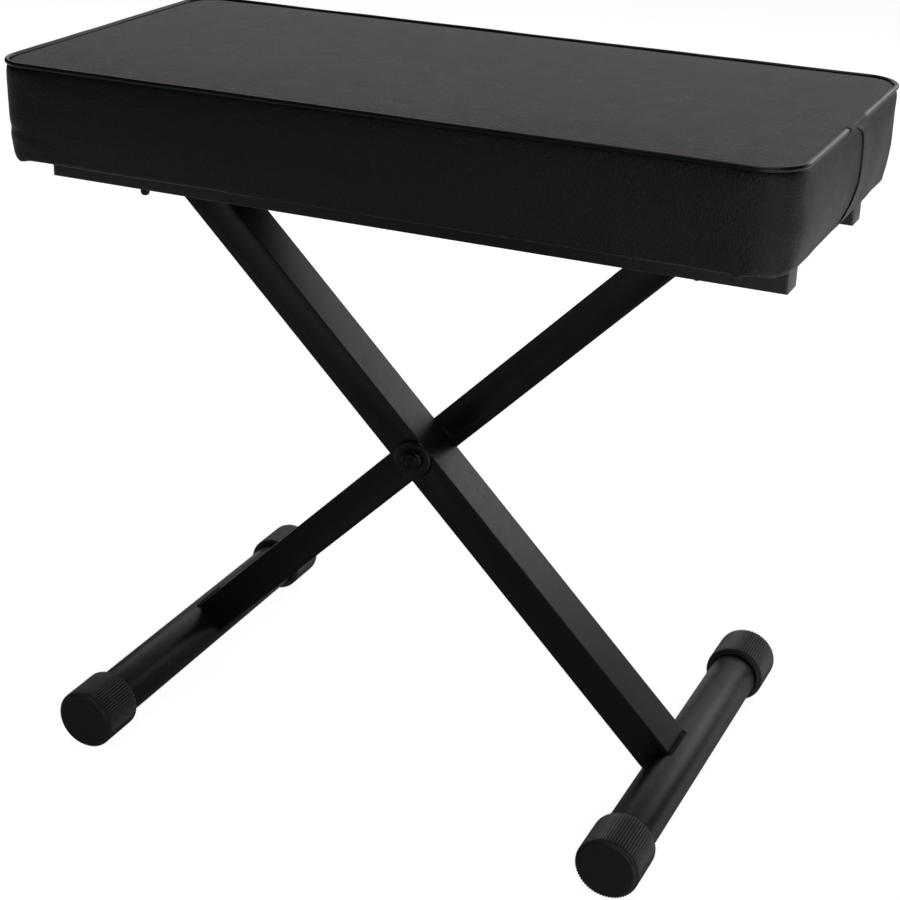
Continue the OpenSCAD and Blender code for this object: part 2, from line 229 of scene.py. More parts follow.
def softened(node, width):
    """A copy of a CAD node with its hard edges rounded by width, which stands for that node."""
    mesh = nodes[node].data.copy()
    mesh.name = node + "_look"
    for layer in list(mesh.attributes):
        if layer.name not in KEPT_LAYERS and not layer.is_required:
            mesh.attributes.remove(layer)
    bm = bmesh.new()
    bm.from_mesh(mesh)
    bmesh.ops.remove_doubles(bm, verts=bm.verts, dist=1e-6)
    bmesh.ops.dissolve_limit(bm, angle_limit=math.radians(0.6), verts=bm.verts, edges=bm.edges)
    hard = [e for e in bm.edges if len(e.link_faces) == 2 and e.calc_face_angle(0) > math.radians(28)]
    bmesh.ops.bevel(bm, geom=hard, offset=width, offset_type="OFFSET", segments=2, profile=0.5,
                    affect="EDGES", clamp_overlap=True)
    bm.to_mesh(mesh)
    bm.free()
    made = bpy.data.objects.new(node + "_look", mesh)
    scene.collection.objects.link(made)
    dress(made, nodes[node]["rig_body"], SLOT_OF[node], [node])


def sweep(rings, closed_path=False, capped=True):
    """Vertices and faces of a skin over rings, each a list of points going the same way round."""
    n = len(rings[0])
    verts = [p for ring in rings for p in ring]
    faces = []
    count = len(rings)
    for i in range(count if closed_path else count - 1):
        a, b = i * n, ((i + 1) % count) * n
        faces += [(a + j, a + (j + 1) % n, b + (j + 1) % n, b + j) for j in range(n)]
    if capped and not closed_path:
        faces += [tuple(range(n)), tuple(range((count - 1) * n, count * n))]
    return verts, faces


def tube_rings(path, radius, sides=16, closed=False, up=(0, 0, 1)):
    """Rings of a round tube along path. radius is a number, or one number for each point."""
    path = [Vector(p) for p in path]
    radii = radius if hasattr(radius, "__len__") else [radius] * len(path)
    rings = []
    for i, p in enumerate(path):
        before = path[i - 1] if (i or closed) else p
        after = path[(i + 1) % len(path)] if (i + 1 < len(path) or closed) else p
        along = (after - before).normalized()
        side = along.cross(Vector(up)).normalized()
        rise = side.cross(along)
        rings.append([p + (side * math.cos(t) + rise * math.sin(t)) * radii[i]
                      for t in (2 * math.pi * k / sides for k in range(sides))])
    return rings


def lathe(profile, centre, axis, sides, shape=None, closed=False, capped=True):
    """Vertices and faces of a turned piece. profile lists (radius, distance along axis). shape may change a
    radius from (index of the profile's point, angle, radius). closed joins the profile's two ends."""
    axis = Vector(axis).normalized()
    across = (axis.orthogonal() if abs(axis.z) > 0.9 else Vector((0, 0, 1)).cross(axis)).normalized()
    third = axis.cross(across)
    rings = []
    for i, (r, s) in enumerate(profile):
        ring = []
        for k in range(sides):
            t = 2 * math.pi * k / sides
            out = shape(i, t, r) if shape else r
            ring.append(Vector(centre) + axis * s + (across * math.cos(t) + third * math.sin(t)) * out)
        rings.append(ring)
    return sweep(rings, closed, capped)


def in_metres(profile):
    """A profile drawn in mm, in metres."""
    return [(r * MM, along * MM) for r, along in profile]


def joined(parts):
    """One list of vertices and one of faces from several meshes."""
    points, quads = [], []
    for more_points, more_quads in parts:
        quads += [tuple(i + len(points) for i in f) for f in more_quads]
        points += list(more_points)
    return points, quads


def wobble(p, scale, seed):
    """Smooth noise from -1 to 1 at a point, over lengths of about 1 / scale."""
    return noise.noise(Vector(p) * scale + Vector((seed * 17.3, seed * 5.1, seed * 9.7)))


SLOT_OF = {row["node"]: row["material_slot"] for row in frame["record"]["subparts"]}


# ---- cushion ----

pipe_lo, pipe_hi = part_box("piping")
band_lo, band_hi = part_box("cover_side_band")
board_lo, board_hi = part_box("seat_board")
PIPE_R = 2.0 * MM  # of the piping, drawn a little slimmer than its CAD node
HALF = ((band_hi.x - band_lo.x) / 2, (band_hi.y - band_lo.y) / 2)
CORNER = 27 * MM  # radius of the seat's corners
SEAM_Z = (pipe_lo.z + pipe_hi.z) / 2
HEM_Z = band_lo.z
BOARD_Z = board_lo.z
TOP_INSET = 1.9 * MM  # of the top's edge, inside the outline
TOP_EDGE_Z = SEAM_Z + 0.4 * MM
TOP_FROM_Z = SEAM_Z + 0.3 * MM  # points above this belong to the top
FLOOR_INSET = 21.5 * MM  # of the skin's floor inside the board, which nobody sees
FLOOR_Z = BOARD_Z + 1.2 * MM
CELLS = (100, 48)  # cells of the top along and across
STRAIGHT = (2 * (HALF[0] - CORNER), 2 * (HALF[1] - CORNER))
ARC = math.pi / 2 * CORNER


def outline(side, t):
    """Point and outward normal of the seat's outline. side 0 is the front, then right, back and left, and t
    goes from 0 to 1 between the middles of that side's two corners."""
    run = STRAIGHT[side % 2]
    s = t * (run + ARC) - ARC / 2
    if s < 0 or s > run:
        turn = s / CORNER if s < 0 else (s - run) / CORNER
        x = (0 if s < 0 else run) - run / 2 + CORNER * math.sin(turn)
        y = -(HALF[1 - side % 2] - CORNER) - CORNER * math.cos(turn)
        nx, ny = math.sin(turn), -math.cos(turn)
    else:
        x, y, nx, ny = s - run / 2, -HALF[1 - side % 2], 0.0, -1.0
    for _ in range(side):
        x, y, nx, ny = -y, x, -ny, nx
    return np.array([x, y]), np.array([nx, ny])


def outline_points():
    """Outline points and normals in order round the seat, matching the border of the top's grid."""
    found = [outline(side, i / CELLS[side % 2]) for side in range(4) for i in range(CELLS[side % 2])]
    return np.array([p for p, _ in found]), np.array([n for _, n in found])


LOOP_P, LOOP_N = outline_points()
AROUND = len(LOOP_P)


def patch(border):
    """Grid of points that fills a closed border of AROUND points: a Coons patch with indices [j][i]."""
    nx, ny = CELLS
    south = border[0:nx + 1]
    east = border[nx:nx + ny + 1]
    north = border[nx + ny:2 * nx + ny + 1][::-1]
    west = np.concatenate([border[2 * nx + ny:], border[0:1]])[::-1]
    u = np.linspace(0, 1, nx + 1)[None, :, None]
    v = np.linspace(0, 1, ny + 1)[:, None, None]
    corners = ((1 - u) * (1 - v) * border[0] + u * (1 - v) * border[nx]
               + u * v * border[nx + ny] + (1 - u) * v * border[2 * nx + ny])
    return (1 - v) * south[None] + v * north[None] + (1 - u) * west[:, None] + u * east[:, None] - corners


def ring(inset, z):
    """The outline moved inwards and set at a height."""
    xy = LOOP_P - inset * LOOP_N
    return np.column_stack([xy, np.full(AROUND, z)])


# Rings of the side band: height as a share of the band, and how far inside the outline in mm
WALL = [(0.962, -0.7), (0.925, -1.6)] + [(0.91 - 0.07 * k, -1.9) for k in range(1, 8)] + [
    (0.35, -1.7), (0.28, -1.4), (0.21, -1.0), (0.15, -0.6), (0.10, -0.2)]
# Rings of the turned-in hem: inside the outline and above the hem, in mm
HEM = [(0.1, 4.0), (0.7, 1.7), (1.9, 0.1), (3.6, -0.6), (7.5, -0.1), (12.6, 0.0), (17.2, 0.0), (19.6, 0.3),
       (20.2, 1.3)]


def border_ids(start):
    """Indices of the border of a grid that starts there, in the order of the outline."""
    nx, ny = CELLS
    row = nx + 1
    return ([start + i for i in range(nx)] + [start + nx + j * row for j in range(ny)]
            + [start + ny * row + i for i in range(nx, 0, -1)] + [start + j * row for j in range(ny, 0, -1)])


def closed_skin(rings):
    """Vertices and faces of a closed form: a grid inside the first ring, bands from ring to ring and a grid
    inside the last. Also the vertex indices of each ring."""
    nx, ny = CELLS
    first, last = patch(rings[0]).reshape(-1, 3), patch(rings[-1]).reshape(-1, 3)
    verts = np.concatenate([first] + rings[1:-1] + [last])
    last_start = len(verts) - len(last)
    loops = [border_ids(0)]
    loops += [list(range(at, at + AROUND)) for at in range(len(first), last_start, AROUND)]
    loops.append(border_ids(last_start))
    faces = []
    for start, flip in ((0, False), (last_start, True)):
        for j in range(ny):
            for i in range(nx):
                a = start + j * (nx + 1) + i
                quad = (a, a + 1, a + nx + 2, a + nx + 1)
                faces.append(quad[::-1] if flip else quad)
    for upper, lower in zip(loops, loops[1:]):
        for k in range(AROUND):
            following = (k + 1) % AROUND
            faces.append((upper[k], lower[k], lower[following], upper[following]))
    return verts, faces, loops


def cushion_mesh():
    """The cover as one closed skin: top, side band, hem under the board and a floor inside the board. Also
    the points that stay put while it is inflated."""
    rings = [ring(TOP_INSET, TOP_EDGE_Z)]
    rings += [ring(inset * MM, HEM_Z + share * (SEAM_Z - HEM_Z)) for share, inset in WALL]
    rings += [ring(inset * MM, HEM_Z + up * MM) for inset, up in HEM]
    rings.append(ring(FLOOR_INSET, FLOOR_Z))
    verts, faces, loops = closed_skin(rings)
    pinned = set(loops[0]) | set(range(loops[-1][0], len(verts)))
    for ids in loops[len(WALL):]:
        pinned |= set(ids)
    return verts, faces, sorted(pinned)


SWELL_FRAMES = 20


def inflate(made, pinned):
    """Swells the cover with air pressure in Blender's Cloth, and returns how far each point moved."""
    group = made.vertex_groups.new(name="pin")
    group.add(pinned, 1.0, "REPLACE")
    cloth = made.modifiers.new("swell", "CLOTH")
    settings = cloth.settings
    settings.quality = 5
    settings.mass = 0.3
    settings.tension_stiffness = settings.compression_stiffness = 18
    settings.bending_stiffness = 1.2
    settings.use_pressure = True
    settings.uniform_pressure_force = 4
    settings.vertex_group_mass = "pin"
    settings.effector_weights.gravity = 0
    cloth.collision_settings.use_collision = False
    before = coords(made.data)
    for at in range(1, SWELL_FRAMES + 1):
        scene.frame_set(at)
    shown = made.evaluated_get(bpy.context.evaluated_depsgraph_get())
    after = coords(shown.data)
    made.modifiers.remove(cloth)
    scene.frame_set(1)
    return after - before


def coords(mesh):
    out = np.empty(len(mesh.vertices) * 3)
    mesh.vertices.foreach_get("co", out)
    return out.reshape(-1, 3)


def set_coords(mesh, points):
    mesh.vertices.foreach_set("co", np.asarray(points, np.float32).ravel())
    mesh.update()


CROWN = 4.6 * MM  # how far the top may rise
ROLL = 7.5 * MM  # distance from the piping over which it rises
BULGE = 1.5 * MM  # how far the side band may swell


def held_back(move, limit):
    """Moves with their lengths kept softly under a limit, as foam under a cover does."""
    size = np.linalg.norm(move, axis=1, keepdims=True)
    most = limit[:, None]
    return move * np.where(size > 1e-9, most * np.tanh(size / most) / np.maximum(size, 1e-9), 1)


def smooth_step(x, a, b):
    t = np.clip((x - a) / (b - a), 0, 1)
    return t * t * (3 - 2 * t)


verts, faces, pinned = cushion_mesh()
edge = np.minimum(HALF[0] - abs(verts[:, 0]), HALF[1] - abs(verts[:, 1]))
corner_x = np.maximum(abs(verts[:, 0]) - HALF[0] + CORNER, 0)
corner_y = np.maximum(abs(verts[:, 1]) - HALF[1] + CORNER, 0)
in_corner = (corner_x > 0) & (corner_y > 0)
edge = np.where(in_corner, CORNER - np.hypot(corner_x, corner_y), edge)
is_top = verts[:, 2] > TOP_FROM_Z
from_edge = np.maximum(edge - TOP_INSET, 0)
cushion_data = bpy.data.meshes.new("seat_cushion")
cushion_data.from_pydata(verts.tolist(), [], faces)
cushion = bpy.data.objects.new("seat_cushion", cushion_data)
scene.collection.objects.link(cushion)
swell = inflate(cushion, pinned)
rise = CROWN * (1 - np.exp(-from_edge / ROLL)) + 0.01 * MM
swell = held_back(swell, np.where(is_top, rise, BULGE))
set_coords(cushion.data, verts + swell)

subdivided = cushion.modifiers.new("round", "SUBSURF")
subdivided.levels = subdivided.render_levels = 1
shown = cushion.evaluated_get(bpy.context.evaluated_depsgraph_get())
cushion.data = bpy.data.meshes.new_from_object(shown)
cushion.modifiers.clear()
cushion.vertex_groups.clear()


def along_corner(x, y, sx, sy):
    """Distance along the outline from the middle of corner sx, sy, positive along the long side."""
    dx, dy = sx * x - (HALF[0] - CORNER), sy * y - (HALF[1] - CORNER)
    if dx > 0 and dy > 0:
        return (math.atan2(dy, dx) - math.pi / 4) * CORNER
    return ARC / 2 - dx if dy > 0 else dy - ARC / 2


def dent(s, at, width):
    """A smooth bump of height 1 at a place along the outline."""
    return math.exp(-((s - at) / width) ** 2)


# Folds of the cover at each lower corner: place along the outline, how far the edge lifts, depth of the
# groove above it, its height and its width, in mm
FOLDS = {
    (1, -1): [(28.5, -2.6, 1.0, 15, 3.0), (15, 0.9, 0.0, 8, 6.0), (1, -0.9, 1.3, 17, 2.8),
              (-17, 0.6, 0.5, 9, 4.0)],
    (-1, -1): [(-8, -1.4, 0.8, 13, 4.5), (9, -2.0, -0.8, 13, 7.0), (27, -0.2, 0.6, 10, 4.0),
               (-22, 0.4, 0.4, 8, 4.0)],
    (1, 1): [(15, -1.6, 0.9, 14, 4.0), (0, 1.0, 1.1, 15, 3.4), (-15, -1.2, 0.6, 10, 4.0)],
    (-1, 1): [(20, -1.4, 0.8, 12, 4.0), (3, 0.8, 1.2, 16, 3.4), (-13, -1.5, 0.7, 12, 4.4)]}
# Diagonal crease across the front left corner: place along the outline and height above the hem, in mm
CREASE = ((-14, 23.0), (12, 21.5), (36, 17.5), (46, 15.5))
FOLD_REACH = 60  # no fold goes further from the corner's middle than this, in mm


def longer_left(x):
    """How far the soft left end reaches past the board at x."""
    return 3.2 * MM * float(smooth_step(np.array(-x), 0.17, HALF[0] - 0.012))


def corner_folds(corner, s, up_mm):
    """How far a corner's folds push the cover outwards and lift its edge, in mm."""
    push = lift = 0.0
    for at, edge_lift, depth, height, width in FOLDS[corner]:
        low = max(0.0, 1 - up_mm / height)
        groove = dent(s + 0.35 * (1 - low) * height, at, width * (0.6 + 0.6 * (1 - low)))
        push -= depth * groove * low ** 0.7
        lift += edge_lift * dent(s, at, width) * min(1, low * 1.6)
    return push, lift


def crease(s, up_mm):
    """How far the crease pushes the front left corner outwards, in mm."""
    start, end = CREASE[0][0] - 12, CREASE[-1][0] + 8
    if not start < s < end:
        return 0.0
    fade = min(1.0, (end - s) / 30) * min(1.0, (s - start) / 10)
    above = up_mm - float(np.interp(s, [c[0] for c in CREASE], [c[1] for c in CREASE]))
    return fade * (0.3 * math.exp(-((above + 6) / 5.0) ** 2) - 0.75 * math.exp(-(above / 3.2) ** 2))


def settle(points):
    """The small unevenness of a hand-pulled cover: slow waves, leaning ends, folds at the lower corners."""
    out = points.copy()
    tall = SEAM_Z - HEM_Z
    for k, (x, y, z) in enumerate(points):
        p = (x, y, z)
        high = (z - HEM_Z) / tall
        if z > TOP_FROM_Z:
            gap = min(HALF[0] - abs(x), HALF[1] - abs(y))
            inside = min(1.0, max(0.0, gap / 0.02))
            out[k, 2] += inside * (0.42 * MM * wobble(p, 8, 1) + 0.16 * MM * wobble(p, 26, 2))
            out[k, 0] -= longer_left(x)
            continue
        cx = max(-HALF[0] + CORNER, min(HALF[0] - CORNER, x))
        cy = max(-HALF[1] + CORNER, min(HALF[1] - CORNER, y))
        away = Vector((x - cx, y - cy, 0))
        reach = away.length
        if reach < 0.3 * CORNER:
            continue
        away /= reach
        on_wall = min(1.0, (reach / CORNER - 0.3) / 0.5)
        middle = math.sin(math.pi * min(1, max(0, high)))
        low = max(0.0, 1 - max(0.0, high) / 0.4)
        push = (0.55 * wobble(p, 11, 3) + 0.25 * wobble((x * 3, y * 3, z), 14, 4)) * (0.15 + middle)
        push += low * 0.5 * wobble((x, y, 0), 34, 5)
        lift = low * 0.6 * wobble((x, y, 0), 28, 6)
        end = float(smooth_step(np.array(abs(x)), HALF[0] - 0.03, HALF[0] - 0.002))
        push += end * ((0.9 * (high - 0.5) + 0.6 * low) if x < 0 else (0.9 * (high - 0.4) - 0.8 * low))
        corner = (1 if x > 0 else -1, 1 if y > 0 else -1)
        s = along_corner(x, y, *corner) / MM
        if abs(s) < FOLD_REACH:
            up_mm = (z - HEM_Z) / MM
            fold_push, fold_lift = corner_folds(corner, s, up_mm)
            push += fold_push
            lift += fold_lift
            if corner == (-1, -1):
                push += crease(s, up_mm)
        out[k] += np.array(away) * push * on_wall * min(1.0, (1.0 - high) / 0.08 + 0.15) * MM
        out[k, 0] -= longer_left(x)
        out[k, 2] += lift * on_wall * MM
    return out


set_coords(cushion.data, settle(coords(cushion.data)))
dress(cushion, "seat", "vinyl", ["cover_top_panel", "cover_side_band", "foam_pad"], sharp=70)

# ---- piping ----

def piping_point(side, t):
    """Centre of the piping beside a point of the outline, a little uneven as it is sewn in by hand."""
    p, n = outline(side, t)
    z = SEAM_Z + 0.35 * MM * wobble((p[0], p[1], 0), 20, 7)
    out = 0.5 * MM + 0.25 * MM * wobble((p[0], p[1], 0), 16, 8)
    return Vector((p[0] + n[0] * out - longer_left(p[0]), p[1] + n[1] * out, z))


PIPE_SIDES = 18
PER_CELL = 3  # points of the piping to each cell of the top's border
piping_path = [piping_point(side, i / (CELLS[side % 2] * PER_CELL))
               for side in range(4) for i in range(CELLS[side % 2] * PER_CELL)]
piping_rings = tube_rings(piping_path, PIPE_R, PIPE_SIDES, closed=True)
piece("seat_piping", *sweep(piping_rings, closed_path=True), "seat", "piping", ["piping"], 60)

# The piping's two ends meet in a sleeve of the cover's vinyl on the right end, thicker at its front end
SLEEVE_Y = (-0.026, 0.022)
SLEEVE_STEPS = 26
sleeve_path, sleeve_r = [], []
for i in range(SLEEVE_STEPS + 1):
    y = SLEEVE_Y[0] + (SLEEVE_Y[1] - SLEEVE_Y[0]) * i / SLEEVE_STEPS
    sleeve_path.append(piping_point(1, (y + HALF[1] - CORNER + ARC / 2) / (STRAIGHT[1] + ARC)))
    near_end = min(1, (min(i, SLEEVE_STEPS - i) + 0.2) / 1.6)
    bulk = 1.0 - 0.4 * i / SLEEVE_STEPS
    sleeve_r.append(PIPE_R + MM * (bulk * near_end + 0.08 * wobble((0, y, 0), 160, 11)))
sleeve_rings = tube_rings(sleeve_path, sleeve_r, PIPE_SIDES)
for slant, open_ring in zip((0.7, 0.5), sleeve_rings):
    for j, p in enumerate(open_ring):
        open_ring[j] = p + Vector((0, slant * MM * math.cos(2 * math.pi * j / PIPE_SIDES), 0))
piece("piping_sleeve", *sweep(sleeve_rings), "seat", "vinyl", (), 60)

# ---- overlap where the side band's ends meet on the right ----

cushion_tree = BVHTree.FromObject(cushion, bpy.context.evaluated_depsgraph_get())


def on_right_end(y, z, off):
    """Point at that distance off the cushion's right end."""
    hit, normal, _, _ = cushion_tree.ray_cast(Vector((HALF[0] + 0.05, y, z)), Vector((-1, 0, 0)))
    return hit + normal * off


# The line of the joint: height below the seam and place along Y, in mm
JOINT_LINE = [(2.0, 0.0), (5.0, 5.0), (7.5, 10.4), (9.5, 13.0), (12, 13.9), (21, 12.9), (33, 14.4),
              (44, 13.2), (51, 10.2), (58.5, 4.6), (64, -4.0), (68.2, -12.5), (70.2, -17.5)]
# Height of the cover across the joint: distance from the line, positive to the front, and height, in mm
JOINT_STEP = [(-28.0, -0.1), (-18.0, 0.45), (-10.0, 0.85), (-5.0, 1.15), (-2.0, 1.45), (-0.9, 1.55),
              (-0.35, 1.45), (-0.05, 1.0), (0.1, 0.3), (0.15, -0.4), (0.6, -0.4), (0.9, 0.0), (1.5, 0.4),
              (3.0, 0.55), (8.0, 0.4), (18.0, 0.15), (26.0, -0.1)]
JOINT_ROWS = 56
JOINT_DEPTH = 0.9  # how far the joint's hidden back lies inside the cushion, in mm
shown_side, hidden_side = [], []
for i in range(JOINT_ROWS + 1):
    down = JOINT_LINE[0][0] + (JOINT_LINE[-1][0] - JOINT_LINE[0][0]) * i / JOINT_ROWS
    line_y = float(np.interp(down, [e[0] for e in JOINT_LINE], [e[1] for e in JOINT_LINE]))
    line_y += 0.35 * wobble((0, 0, down), 0.12, 12)
    z = SEAM_Z - down * MM
    thin = min(1.0, 0.25 + i / 5, 0.25 + (JOINT_ROWS - i) / 5)
    shown_side += [on_right_end((line_y - d) * MM, z, tall * thin * MM) for d, tall in JOINT_STEP]
    hidden_side += [on_right_end((line_y - d) * MM, z, -JOINT_DEPTH * MM) for d, _ in JOINT_STEP]
columns = len(JOINT_STEP)
back = len(shown_side)
quads = []
for i in range(JOINT_ROWS):
    for j in range(columns - 1):
        a = i * columns + j
        quads += [(a, a + 1, a + columns + 1, a + columns),
                  (back + a, back + a + columns, back + a + columns + 1, back + a + 1)]
    for a in (i * columns, (i + 1) * columns - 1):
        quads.append((a, a + columns, back + a + columns, back + a))
for j in range(columns - 1):
    for a in (j, JOINT_ROWS * columns + j):
        quads.append((a, a + 1, back + a + 1, back + a))
piece("cover_joint", shown_side + hidden_side, quads, "seat", "vinyl", (), 50)

# ---- seat board and staples ----

# Outline of the board's edge: inside the cover and above the board's underside, in mm
BOARD_EDGE = [(5.6, 0.0), (4.9, 0.3), (4.6, 1.0), (4.5, 2.2), (4.5, 10.6), (4.8, 11.6), (5.6, 12.0)]
board_rings = [ring(inset * MM, board_lo.z + up / BOARD_EDGE[-1][1] * (board_hi.z - board_lo.z))
               for inset, up in BOARD_EDGE]
board_points, board_quads, _ = closed_skin(board_rings)
piece("seat_board_look", board_points, board_quads, "seat", "plywood", ["seat_board"], 40)


def staple(x, y, angle):
    """A crown with its two legs going up into the board."""
    turn = Matrix.Rotation(angle, 3, "Z")
    bend = [(-5, 0, 3), (-5, 0, 0.6), (-4.8, 0, 0.15), (-4.3, 0, 0),
            (4.3, 0, 0), (4.8, 0, 0.15), (5, 0, 0.6), (5, 0, 3)]
    path = [turn @ (Vector(p) * MM) + Vector((x, y, HEM_Z - 0.42 * MM)) for p in bend]
    return sweep(tube_rings(path, 0.45 * MM, 8, up=(0.02, 1, 0)))


LONG_COUNT, SHORT_COUNT = 14, 7  # staples along a long and a short side, as in the CAD
staples = []
for side in (-1, 1):
    for i in range(LONG_COUNT):
        x = (i - (LONG_COUNT - 1) / 2) * 2 * HALF[0] / (LONG_COUNT + 1)
        x += 1.5 * MM * wobble((i, side, 0), 0.9, 13)
        staples.append(staple(x, side * (HALF[1] - 10 * MM), 0.12 * wobble((i, side, 3), 0.7, 14)))
    for i in range(SHORT_COUNT):
        y = (i - (SHORT_COUNT - 1) / 2) * 2 * HALF[1] / (SHORT_COUNT + 1)
        askew = 0.12 * wobble((i, side, 5), 0.7, 15)
        staples.append(staple(side * (HALF[0] - 5.2 * MM), y, math.pi / 2 + askew))
piece("hem_staples_look", *joined(staples), "seat", "staple_steel", ["hem_staples"], 60)


# ---- rails, legs and fittings: CAD shapes with rounded edges ----

# Radius of the rounded edges in mm, and the nodes that have them
EDGES = {0.35: ["front_rail", "rear_rail"],
         0.2: ["seat_bolts_left", "seat_bolts_right"],
         0.4: ["front_rail_left_plug", "front_rail_right_plug", "rear_rail_left_plug",
               "rear_rail_right_plug"],
         0.25: ["seat_bolt_washers"],
         0.3: ["front_leg_tube", "rear_leg_tube", "left_cross_tube", "right_cross_tube", "left_foot_tube",
               "right_foot_tube"]}
for width, names in EDGES.items():
    for name in names:
        softened(name, width * MM)


# ---- foot caps ----

RIBS = 66
PER_RIB = 8  # sides of the cap to each rib
GROOVE = 1.15 * MM  # depth of the grooves between the ribs
RIBBED = (2.0, 41.33)  # the ribs' two ends along the cap, in mm
CAP_R, CAP_LEN = 25.3, 43.0  # of the outline below, in mm
# Radius and distance from the end face, in mm: face, rim, ribbed side, collar, and the bore round the tube
CAP = [(0.0, 0.55), (8.0, 0.5), (15.0, 0.35), (20.0, 0.1), (21.3, 0.0), (22.0, 0.1), (22.5, 0.4), (22.8, 0.9),
       (23.0, 1.5), (23.4, 1.9), (24.2, 2.05), (24.9, 2.4), (25.2, 3.0), (25.3, 3.8), (25.3, 12), (25.3, 20),
       (25.3, 30), (25.3, 39.8), (25.2, 40.6), (24.9, 41.1), (24.2, 41.3), (22.6, 41.35), (22.2, 41.7),
       (22.1, 42.4), (21.7, 42.9), (21.0, 43.0), (20.4, 42.7), (20.02, 42.2), (20.02, 34)]


def ribs(i, t, r):
    """Cuts the grooves into the ribbed stretch of the cap."""
    if RIBBED[0] < CAP[i][1] < RIBBED[1]:
        r -= GROOVE * (1 - (0.5 + 0.5 * math.cos(RIBS * t)) ** 0.75)
    return r


def foot_cap(node):
    """Ribbed rubber cap with a smooth end face, a rounded rim and a plain collar, flat where it stands."""
    lo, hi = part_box(node)
    radius = (hi.x - lo.x) / 2
    front = hi.y < 0
    centre = (lo.x + radius, lo.y if front else hi.y, hi.z - radius)
    inward = (0, 1 if front else -1, 0)
    profile = [(r / CAP_R * radius, at / CAP_LEN * (hi.y - lo.y)) for r, at in CAP]
    points, quads = lathe(profile, centre, inward, RIBS * PER_RIB, ribs)
    points = [Vector((p.x, p.y, max(p.z, 0.0))) for p in points]
    piece(node + "_look", points, quads, nodes[node]["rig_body"], "rubber", [node], 50)


for end in ("left", "right"):
    for side in ("front", "rear"):
        foot_cap(f"{end}_foot_{side}_cap")


# ---- weld beads ----

PIVOT = Vector(frame["joints"][0]["pos_m"])
LOWER = (PIVOT.z - (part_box("right_foot_tube")[0].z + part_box("right_foot_tube")[1].z) / 2) * math.sqrt(2)
UPPER = ((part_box("left_cross_tube")[0].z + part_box("left_cross_tube")[1].z) / 2 - PIVOT.z) * math.sqrt(2)
FOOT_R = (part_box("right_foot_tube")[1].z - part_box("right_foot_tube")[0].z) / 2
CROSS_R = (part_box("left_cross_tube")[1].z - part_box("left_cross_tube")[0].z) / 2
LEG_W = 29.5 * MM
# One end of a foot weld: past the leg's side, past its front or rear face, and above the tube there, in mm
BEAD_END = [(-4.0, 0.2, 1.9), (-1.1, 0.3, 0.5), (0.1, -1.6, 0.2)]
RIPPLE = 2.1 * MM  # length of one scale of a bead


def weld_bead(path, radius, seed):
    """A rippled bead: overlapping scales along the path, a little uneven."""
    lengths = [0.0]
    for a, b in zip(path, path[1:]):
        lengths.append(lengths[-1] + (b - a).length)
    count = max(8, int(lengths[-1] / (0.28 * MM)))
    fine_path, radii = [], []
    for i in range(count + 1):
        at = lengths[-1] * i / count
        fine_path.append(Vector([float(np.interp(at, lengths, [q[c] for q in path])) for c in range(3)]))
        ripple = (at / RIPPLE + 0.4 * wobble((at * 300, 0, 0), 1, seed + 7)) % 1.0
        size = radius * (0.45 + 0.60 * math.sqrt(ripple) + 0.14 * wobble((at * 400, 0, 0), 1, seed))
        radii.append(size * min(1.0, 0.45 + min(i, count - i) / 4))
    return sweep(tube_rings(fine_path, radii, 12, up=(0.31, 0.17, 0.93)))


def foot_weld(place, front_y, rear_y, seed):
    """Beads along both sides of a leg's lower end, on its foot tube."""
    base = -LOWER + math.sqrt(FOOT_R ** 2 - (LEG_W / 2) ** 2)
    beads = []
    for side in (-1, 1):
        front, rear = [[(side * (LEG_W / 2 + out * MM), y + way * past * MM, base + up * MM)
                        for out, past, up in BEAD_END] for y, way in ((front_y, -1), (rear_y, 1))]
        beads.append(weld_bead([place @ Vector(p) for p in front + rear[::-1]], 1.9 * MM, seed + side))
    return beads


def cross_weld(place, front_y, rear_y, seed):
    """Beads across the front and rear faces of a leg's upper end, round its cross tube."""
    angles = [math.radians(190 + 160 * k / 24) for k in range(25)]
    r = CROSS_R + 0.4 * MM
    beads = []
    for y in (front_y - 0.3 * MM, rear_y + 0.3 * MM):
        line = [place @ Vector((r * math.cos(t), y, UPPER + r * math.sin(t))) for t in angles]
        beads.append(weld_bead(line, 1.6 * MM, seed + y))
    return beads


# Weld, the leg it belongs to, that leg's lean in degrees, and the function that makes it
WELDS = [("right_foot_weld", "front_leg_tube", -45, foot_weld),
         ("left_foot_weld", "rear_leg_tube", 45, foot_weld),
         ("left_cross_weld", "front_leg_tube", -45, cross_weld),
         ("right_cross_weld", "rear_leg_tube", 45, cross_weld)]
for seed, (node, leg, lean, weld) in enumerate(WELDS, 1):
    leg_lo, leg_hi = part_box(leg)
    place = Matrix.Translation(PIVOT) @ Matrix.Rotation(math.radians(lean), 4, "Y")
    beads = weld(place, leg_lo.y, leg_hi.y, seed)
    piece(node + "_look", *joined(beads), nodes[node]["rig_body"], "weld", [node], 60)


# ---- pivot bolt, washer and lock nut ----

HEX_AF = 13 * MM  # across the flats of the bolt's head and of the nut


def hexagonal(i, t, r):
    """Keeps a turned outline inside the hexagon."""
    return min(r, HEX_AF / 2 / math.cos((t + math.pi / 6) % (math.pi / 3) - math.pi / 6))


def on_pivot(profile, start_y, sides=96, shape=None, closed=False):
    """A turned piece on the pivot's axis. Its profile, in mm, starts at start_y and goes to the back."""
    return lathe(in_metres(profile), (PIVOT.x, start_y, PIVOT.z), (0, 1, 0), sides, shape, closed)


